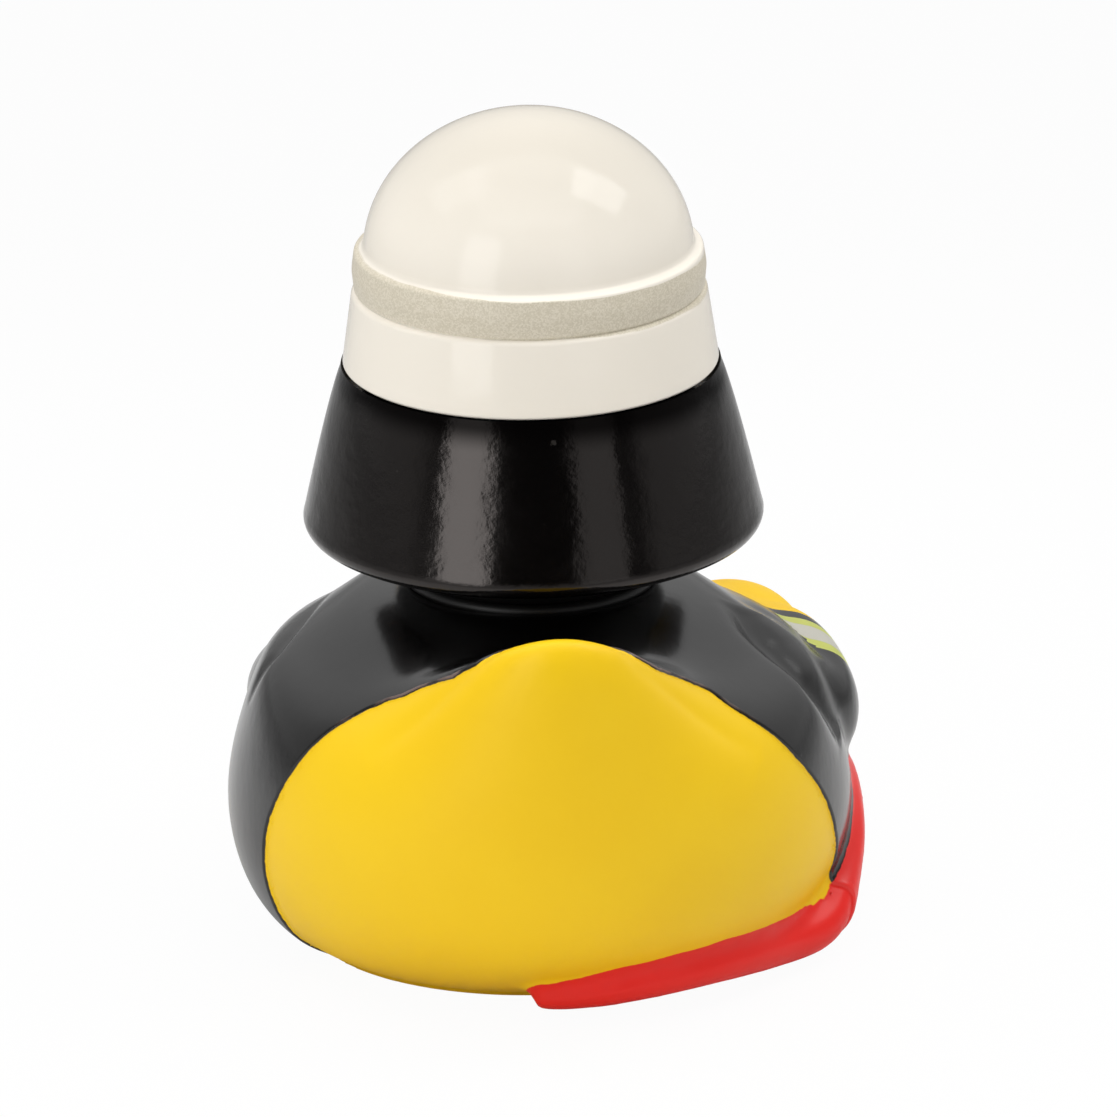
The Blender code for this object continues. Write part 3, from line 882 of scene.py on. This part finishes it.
def rgb(red, green, blue):
    """Colour values from 0 to 255 turned to linear light."""
    def line(value):
        value /= 255.0
        return value / 12.92 if value <= 0.04045 else ((value + 0.055) / 1.055) ** 2.4
    return (line(red), line(green), line(blue), 1.0)


# Colours of the paints and the vinyl.
YELLOW = rgb(252, 208, 20)
YELLOW_DEEP = rgb(250, 204, 16)
BLACK = rgb(5, 4, 4)
WHITE = rgb(249, 242, 229)
# Painted shade for the helmet's crown, darker than the lower shell.
CROWN_PAINTED_SHADE = rgb(219, 212, 199)
# Paler brown-grey for a strip along the upper part of the hem.
HEM_STRIP_BROWN = rgb(122, 102, 96)
SILVER = rgb(196, 194, 182)
LIME = rgb(196, 202, 92)
RED = rgb(238, 40, 34)
ORANGE = rgb(232, 96, 18)
ORANGE_DEEP = rgb(224, 84, 14)
SILVER_DULL = rgb(180, 178, 168)
PLUG = rgb(222, 222, 216)
PLUG_DULL = rgb(214, 214, 208)
SPECK = rgb(44, 42, 40)
FLAKE_DARK = rgb(212, 203, 182)
FLAKE_LIGHT = rgb(228, 220, 202)

# The cuffs start this far along each sleeve, in millimetres, with these bands and then the hand.
RIGHT_CUFF = 24.7
LEFT_CUFF = 20.5
CUFF_BANDS = ((0.0, 1.5, LIME), (1.5, 2.5, SILVER), (2.5, 4.0, LIME))
CUFF_TO_HAND = 5.9

# Parts of an eye: place across and up, half width and half height, in millimetres, and colour.
EYE_PARTS = (
    ((7.6, 62.0), (3.3, 4.3), rgb(240, 240, 238)),
    ((6.9, 61.7), (2.1, 3.1), rgb(18, 18, 18)),
    ((6.3, 63.1), (0.65, 0.8), rgb(245, 245, 245)))


def body_paint():
    paint = Paint("body_paint")
    waver = paint.field("waver")
    fine = paint.math("MULTIPLY", paint.math("SUBTRACT", paint.noise(900.0, 3.0), 0.5), 0.15)
    hem = paint.math("ADD", paint.field("hem"), fine)
    bare = paint.step(hem, -0.04, 0.05)
    edge = paint.math("ADD", fine, paint.math("MULTIPLY", waver, 0.25))
    vinyl = paint.mix(paint.step(paint.noise(60.0, 2.0), 0.3, 0.7), YELLOW, YELLOW_DEEP)
    # A paler brown-grey strip, in patches, runs along the upper part of the hem.
    pale_strip = paint.math("MULTIPLY", paint.step(hem, -0.50, -0.34),
                      paint.step(hem, -0.16, -0.06, 1.0, 0.0))
    patchy = paint.math("MULTIPLY", paint.step(paint.noise(170.0, 3.0), 0.36, 0.56), 0.85)
    patchy = paint.math("MULTIPLY", patchy, paint.step(paint.axes()[2], 0.0335, 0.0365))
    pale_strip = paint.math("MULTIPLY", pale_strip, patchy)
    colour = paint.mix(bare, paint.mix(pale_strip, BLACK, HEM_STRIP_BROWN), vinyl)
    rough = paint.blend(bare, 0.19, 0.46)
    gloss = paint.blend(bare, 0.55, 0.26)
    for name, start in (("right_arm", RIGHT_CUFF), ("left_arm", LEFT_CUFF)):
        along = paint.math("ADD", paint.field(name), edge)
        on_arm = paint.math("ADD", paint.field(name + "_inside"), edge)
        on_arm = paint.step(on_arm, -0.06, 0.06)
        for first, last, shade in CUFF_BANDS:
            after = paint.step(along, start + first - 0.05, start + first + 0.05)
            before = paint.step(along, start + last - 0.05, start + last + 0.05, 1.0, 0.0)
            inside = paint.math("MULTIPLY", paint.math("MULTIPLY", after, before), on_arm)
            colour = paint.mix(inside, colour, shade)
            rough = paint.blend(inside, rough, 0.35)
        wrist = start + CUFF_TO_HAND
        hand = paint.math("MULTIPLY", paint.step(along, wrist - 0.05, wrist + 0.05), on_arm)
        colour = paint.mix(hand, colour, vinyl)
        rough = paint.blend(hand, rough, 0.46)
        gloss = paint.blend(hand, gloss, 0.26)
    pipe = paint.math("ADD", paint.field("hose"), paint.math("MULTIPLY", fine, 1.5))
    piped = paint.step(pipe, -0.06, 0.06)
    colour = paint.mix(piped, colour, RED)
    rough = paint.blend(piped, rough, 0.36)
    paint.colour(colour)
    paint.rough(rough)
    paint.put(paint.shader.inputs["Specular IOR Level"], gloss)
    paint.bump(paint.noise(420.0, 3.0, 0.55), 0.00005, 0.6)
    return paint.look


def gloss_black():
    paint = Paint("gloss_black")
    speck = paint.step(paint.noise(700.0, 2.0), 0.74, 0.80)
    paint.colour(paint.mix(speck, BLACK, SPECK))
    paint.rough(paint.blend(paint.noise(120.0, 3.0), 0.12, 0.20))
    # The reflections are made weaker right under the helmet, fading towards its edge.
    paint.put(paint.shader.inputs["Specular IOR Level"],
              paint.step(paint.axes()[2], SHELL_EDGE_HEIGHT - 0.0040, SHELL_EDGE_HEIGHT - 0.0010,
                         0.5, 0.06))
    paint.shader.inputs["Specular Tint"].default_value = (1.0, 0.91, 0.87, 1.0)
    paint.bump(paint.noise(330.0, 4.0, 0.55), 0.00012, 0.7)
    return paint.look


def helmet_paint():
    paint = Paint("helmet_paint")
    paint.shader.inputs["Specular IOR Level"].default_value = 0.24
    height = paint.math("MULTIPLY", paint.axes()[2], 1000.0)
    wander = paint.math("MULTIPLY", paint.math("SUBTRACT", paint.noise(110.0, 4.0), 0.5), 0.7)
    level = paint.math("ADD", height, wander)
    band = paint.math("MULTIPLY", paint.step(level, BAND_BOTTOM / MM - 0.15, BAND_BOTTOM / MM),
                      paint.step(level, BAND_TOP / MM - 0.35, BAND_TOP / MM - 0.25, 1.0, 0.0))
    flake = paint.mix(paint.step(paint.cells(6000.0), 0.2, 0.9), FLAKE_DARK, FLAKE_LIGHT)
    # The crown is painted darker towards the top: painted shade against the light from above.
    cream_and_shade = paint.mix(paint.step(height, 86.0, 97.5), WHITE, CROWN_PAINTED_SHADE)
    paint.colour(paint.mix(band, cream_and_shade, flake))
    paint.rough(paint.blend(band, 0.12, 0.38))
    grain = paint.math("MULTIPLY", paint.noise(2200.0, 2.0), band)
    peel = paint.math("ADD", paint.noise(300.0, 3.0), paint.math("MULTIPLY", grain, 0.8))
    paint.bump(peel, 0.00006, 0.6)
    return paint.look


def head_paint():
    paint = Paint("head_paint")
    across, along, height = paint.axes()
    across = paint.math("MULTIPLY", paint.math("ABSOLUTE", across), 1000.0)
    height = paint.math("MULTIPLY", height, 1000.0)
    front = paint.step(along, -0.004, -0.003, 1.0, 0.0)

    def oval(x, z, wide, tall):
        """1 inside an oval on the front of the head, and 0 outside it."""
        dx = paint.math("DIVIDE", paint.math("SUBTRACT", across, x), wide)
        dz = paint.math("DIVIDE", paint.math("SUBTRACT", height, z), tall)
        size = paint.math("SQRT", paint.math("ADD", paint.math("MULTIPLY", dx, dx),
                                             paint.math("MULTIPLY", dz, dz)))
        return paint.math("MULTIPLY", paint.step(size, 0.97, 1.03, 1.0, 0.0), front)

    vinyl = paint.mix(paint.step(paint.noise(60.0, 2.0), 0.3, 0.7), YELLOW, YELLOW_DEEP)
    colour = paint.mix(paint.step(along, -0.0042, -0.0040), vinyl, BLACK)
    ovals = [oval(*place, *size) for place, size, shade in EYE_PARTS]
    for mask, (place, size, shade) in zip(ovals, EYE_PARTS):
        colour = paint.mix(mask, colour, shade)
    paint.colour(colour)
    paint.rough(paint.blend(ovals[0], 0.50, 0.22))
    paint.bump(paint.noise(420.0, 3.0, 0.55), 0.00006, 0.6)
    return paint.look


def plain_paint(name, first, second, roughness):
    """Two close shades in soft patches, with a slightly uneven gloss."""
    paint = Paint(name)
    paint.colour(paint.mix(paint.step(paint.noise(80.0, 3.0), 0.35, 0.65), first, second))
    paint.rough(paint.blend(paint.noise(150.0, 2.0), roughness - 0.04, roughness + 0.04))
    paint.bump(paint.noise(380.0, 3.0, 0.55), 0.00005, 0.6)
    return paint.look


def head_ball():
    """A ball for the head, less deep below its middle, and the seam round the neck."""
    head = ball("duck_head", HEAD_CENTRE, (HEAD_RADIUS, HEAD_RADIUS, HEAD_RADIUS))
    points = get_points(head.data)
    low = points[:, 2] < HEAD_CENTRE.z
    points[low, 2] = (HEAD_CENTRE.z
                      + (points[low, 2] - HEAD_CENTRE.z) * HEAD_DEPTH / HEAD_RADIUS)
    set_points(head.data, points)
    ring = arc(NECK_RADIUS, NECK_TOP, 0.0007, 0, 360, 16)[:-1]
    seam = turned("neck_seam_form", ring, NECK_SIDES, True)
    both = join_meshes("duck_head", [head, seam])
    remove(head, seam)
    both.name = "duck_head"
    return smooth(both)


def lean(thing):
    """Tip a piece of the helmet towards the duck's left, as it sits in the photo."""
    pivot = Vector((0.0, 0.0, LEAN_HEIGHT))
    thing.data.transform(Matrix.Translation(pivot)
                         @ Matrix.Rotation(math.radians(HELMET_LEAN), 4, "Y")
                         @ Matrix.Translation(-pivot))
    return thing


def dress(thing, look):
    """Paint a piece of the duck and put it in its place in the frame."""
    thing.data.materials.clear()
    thing.data.materials.append(look)
    thing.matrix_world = Matrix.Translation(SHIFT) @ thing.matrix_world
    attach(thing, "root")
    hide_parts("duck")


# The pieces and their looks.
black = gloss_black()
white = helmet_paint()
orange = plain_paint("bill_paint", ORANGE, ORANGE_DEEP, 0.40)
silver = plain_paint("nozzle_paint", SILVER, SILVER_DULL, 0.32)
plug = plain_paint("squeaker_moulding", PLUG, PLUG_DULL, 0.45)

dress(body_skin(), body_paint())
dress(head_ball(), head_paint())
dress(lean(helmet_shell()), white)
dress(lean(neck_guard()), black)
dress(lean(helmet_peak()), white)
for half in BILL_HALVES:
    dress(bill_half(*half), orange)
dress(nozzle_form(), silver)
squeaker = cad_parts["squeaker"]
squeaker.data.materials.clear()
squeaker.data.materials.append(plug)


# Camera, with its azimuth and rise in degrees, and the photo's scale and places in pixels.
CAMERA_AZIMUTH = 5.0
CAMERA_RISE = 20.0
CAMERA_DISTANCE = 0.90
SENSOR_WIDTH = 36.0
PIXELS_PER_METRE = 8780.0
IMAGE = 1117.0
AXIS_PIXEL = 530.0
BASE_PIXEL = 931.0
MIDDLE_HEIGHT = 0.050
MIDDLE = Vector((SHIFT.x, 0.0, MIDDLE_HEIGHT))

# How bright the surroundings are beside, in front of, behind and above the duck.
WALL_GLOW = 0.40
ROOM_GLOW = 0.01
BACKDROP_GLOW = 0.50
CEILING_GLOW = 1.00

# The floor's brightness near the duck and further out, and its own glow for the camera.
FLOOR_NEAR = (0.10, 0.78)
FLOOR_FAR = (0.30, 0.40)
FLOOR_GLOW = 0.96

# Lamps: azimuth from the camera's, elevation, distance, width and height, and power.
LAMPS = (
    ("left_softbox", 35.5, 10, 0.75, (0.34, 0.80), 2.85),
    ("left_window", 97, 54, 0.80, (0.36, 0.42), 0.8),
    ("right_window", -95, 54, 0.80, (0.34, 0.42), 1.8),
    ("right_softbox", -35, 10, 0.75, (0.32, 0.80), 0.52),
    ("top_softbox", 0, 80, 0.80, (1.00, 0.90), 3.1))


def aim(thing, place):
    """Put a lamp or the camera in its place, facing the duck."""
    bpy.context.scene.collection.objects.link(thing)
    thing.location = place
    thing.rotation_euler = (MIDDLE - place).to_track_quat("-Z", "Y").to_euler()


def lamp(name, place, size, power):
    data = bpy.data.lights.new(name, "AREA")
    data.shape = "RECTANGLE"
    data.size, data.size_y = size
    data.energy = power
    aim(bpy.data.objects.new(name, data), place)


def polar(azimuth, elevation, distance):
    """A place round the duck. Azimuth 0 is behind it, and grows towards its left hand."""
    turn = math.radians(azimuth)
    rise = math.radians(elevation)
    return Vector((math.sin(turn) * math.cos(rise), math.cos(turn) * math.cos(rise),
                   math.sin(rise))) * distance


def floor_paint():
    look = bpy.data.materials.new("floor_paint")
    look.use_nodes = True
    tree = look.node_tree
    tree.nodes.clear()
    nodes = Nodes(tree)
    out = tree.nodes.new("ShaderNodeOutputMaterial")
    plain = tree.nodes.new("ShaderNodeBsdfDiffuse")
    # White round the duck, and greyer further out, where the room's light falls off.
    place = tree.nodes.new("ShaderNodeTexCoord")
    reach = tree.nodes.new("ShaderNodeVectorMath")
    reach.operation = "LENGTH"
    tree.links.new(place.outputs["Object"], reach.inputs[0])
    fall = nodes.step(reach.outputs["Value"], FLOOR_NEAR[0], FLOOR_FAR[0],
                      FLOOR_NEAR[1], FLOOR_FAR[1])
    tree.links.new(fall, plain.inputs["Color"])
    glow = tree.nodes.new("ShaderNodeEmission")
    glow.inputs["Color"].default_value = (1.0, 1.0, 1.0, 1.0)
    glow.inputs["Strength"].default_value = 1.0
    path = tree.nodes.new("ShaderNodeLightPath")
    share = nodes.math("MULTIPLY", path.outputs["Is Camera Ray"], FLOOR_GLOW)
    mixer = tree.nodes.new("ShaderNodeMixShader")
    tree.links.new(share, mixer.inputs[0])
    tree.links.new(plain.outputs[0], mixer.inputs[1])
    tree.links.new(glow.outputs[0], mixer.inputs[2])
    tree.links.new(mixer.outputs[0], out.inputs["Surface"])
    return look


def studio():
    """White surroundings, dark behind the camera as in a room, and plain white to the camera."""
    world = bpy.data.worlds.new("studio")
    bpy.context.scene.world = world
    world.use_nodes = True
    tree = world.node_tree
    background = tree.nodes["Background"]
    nodes = Nodes(tree)
    place = tree.nodes.new("ShaderNodeTexCoord")
    split = tree.nodes.new("ShaderNodeSeparateXYZ")
    tree.links.new(place.outputs["Generated"], split.inputs[0])
    across, along, height = split.outputs
    toward = math.radians(CAMERA_AZIMUTH)
    # How near a direction is to the camera's azimuth seen from the duck, from -1 to 1.
    level = nodes.math("SQRT", nodes.math("SUBTRACT", 1.0001,
                                          nodes.math("MULTIPLY", height, height)))
    along = nodes.math("ADD", nodes.math("MULTIPLY", across, math.sin(toward)),
                       nodes.math("MULTIPLY", along, math.cos(toward)))
    facing = nodes.math("DIVIDE", along, level)
    # The room behind the camera is dark, and the backdrop is brighter higher up.
    near = nodes.step(facing, math.cos(math.radians(68)), math.cos(math.radians(50)))
    low = nodes.math("SUBTRACT", 1.0, nodes.step(height, 0.55, 0.80))
    room = nodes.math("MULTIPLY", near, low)
    behind = nodes.step(nodes.math("MULTIPLY", facing, -1.0), 0.17, 0.62)
    glow = nodes.math("MULTIPLY_ADD", room, ROOM_GLOW - WALL_GLOW, WALL_GLOW)
    bright = nodes.math("MULTIPLY_ADD", nodes.step(height, 0.05, 0.65),
                        CEILING_GLOW - BACKDROP_GLOW, BACKDROP_GLOW - WALL_GLOW)
    glow = nodes.math("MULTIPLY_ADD", behind, bright, glow)
    path = tree.nodes.new("ShaderNodeLightPath")
    strength = nodes.blend(path.outputs["Is Camera Ray"], glow, 1.0)
    tree.links.new(strength, background.inputs["Strength"])
    background.inputs["Color"].default_value = (1.0, 1.0, 1.0, 1.0)


# Floor, lamps and camera.
floor_mesh = bpy.data.meshes.new("floor")
floor_mesh.from_pydata([(-3, -3, 0), (3, -3, 0), (3, 3, 0), (-3, 3, 0)], [], [(0, 1, 2, 3)])
floor = new_object("floor", floor_mesh)
floor.location.z = -0.0001
floor.data.materials.append(floor_paint())
studio()
for name, azimuth, elevation, distance, size, power in LAMPS:
    place = MIDDLE + polar(CAMERA_AZIMUTH + azimuth, elevation, distance)
    lamp(name, place, size, power)

camera_data = bpy.data.cameras.new("camera")
camera = bpy.data.objects.new("camera", camera_data)
aim(camera, MIDDLE + polar(CAMERA_AZIMUTH, CAMERA_RISE, CAMERA_DISTANCE))
camera_data.sensor_width = SENSOR_WIDTH
camera_data.lens = PIXELS_PER_METRE * CAMERA_DISTANCE * SENSOR_WIDTH / IMAGE
middle_row = BASE_PIXEL - PIXELS_PER_METRE * MIDDLE_HEIGHT * math.cos(math.radians(CAMERA_RISE))
camera_data.shift_x = (IMAGE / 2 - AXIS_PIXEL) / IMAGE
camera_data.shift_y = (middle_row - IMAGE / 2) / IMAGE
camera_data.clip_start = 0.01
bpy.context.scene.camera = camera
bpy.context.scene.view_settings.view_transform = "Standard"
